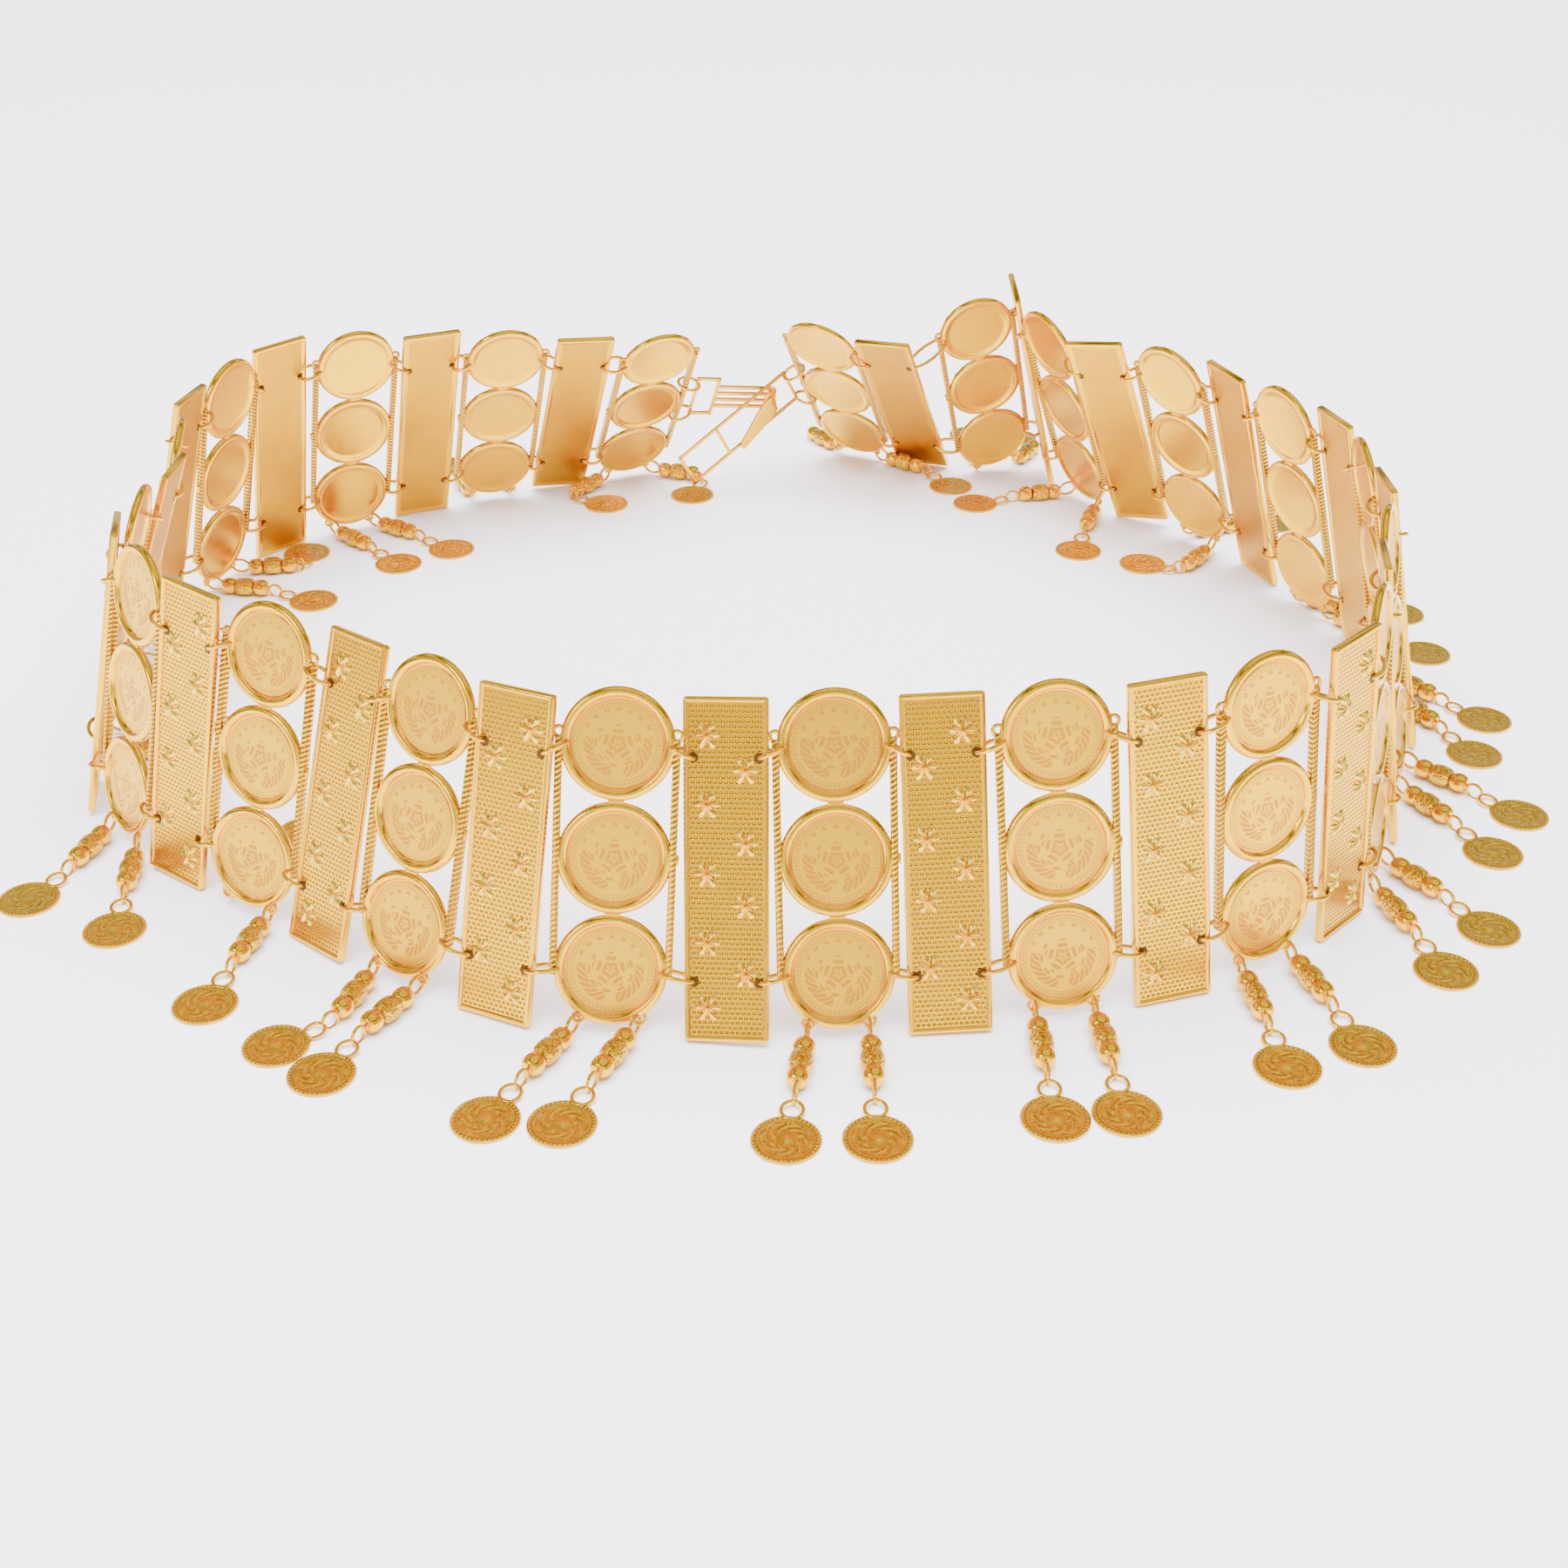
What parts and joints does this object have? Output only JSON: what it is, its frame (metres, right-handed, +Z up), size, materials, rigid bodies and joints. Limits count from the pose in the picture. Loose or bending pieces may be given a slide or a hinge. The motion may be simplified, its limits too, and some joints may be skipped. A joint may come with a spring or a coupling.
{
  "type": "coin and tassel link belt",
  "caption": "Gold plated link belt of oblong plates and coin columns with bead and coin tassels, fastened into a ring and standing on edge.",
  "frame": {"origin": "middle of the belt's outline on the floor it stands on", "axes": "+Z up along the belt's width; -Y is the side the picture was taken from, with the clasp at the +Y side"},
  "size_m": [0.3648, 0.3766, 0.0712],
  "materials": {
    "plate_gold": "bright gold plate",
    "coin_gold": "gold plate, polished rims and matt faces",
    "clasp_gold": "bright gold plate"
  },
  "bodies": {
    "root": {"plate_01": "plate_gold", "plate_02": "plate_gold", "plate_03": "plate_gold", "plate_04": "plate_gold", "plate_05": "plate_gold", "plate_06": "plate_gold", "plate_07": "plate_gold", "plate_08": "plate_gold", "plate_09": "plate_gold", "plate_10": "plate_gold", "plate_11": "plate_gold", "plate_12": "plate_gold", "plate_13": "plate_gold", "plate_14": "plate_gold", "plate_15": "plate_gold", "plate_16": "plate_gold", "plate_17": "plate_gold", "plate_18": "plate_gold", "plate_19": "plate_gold", "plate_20": "plate_gold", "coins_01": "coin_gold", "coins_02": "coin_gold", "coins_03": "coin_gold", "coins_04": "coin_gold", "coins_05": "coin_gold", "coins_06": "coin_gold", "coins_07": "coin_gold", "coins_08": "coin_gold", "coins_09": "coin_gold", "coins_10": "coin_gold", "coins_11": "coin_gold", "coins_12": "coin_gold", "coins_13": "coin_gold", "coins_14": "coin_gold", "coins_15": "coin_gold", "coins_16": "coin_gold", "coins_17": "coin_gold", "coins_18": "coin_gold", "coins_19": "coin_gold", "coins_20": "coin_gold", "coins_21": "coin_gold", "clasp_hook": "clasp_gold", "clasp_ladder": "clasp_gold"}
  },
  "joints": []
}
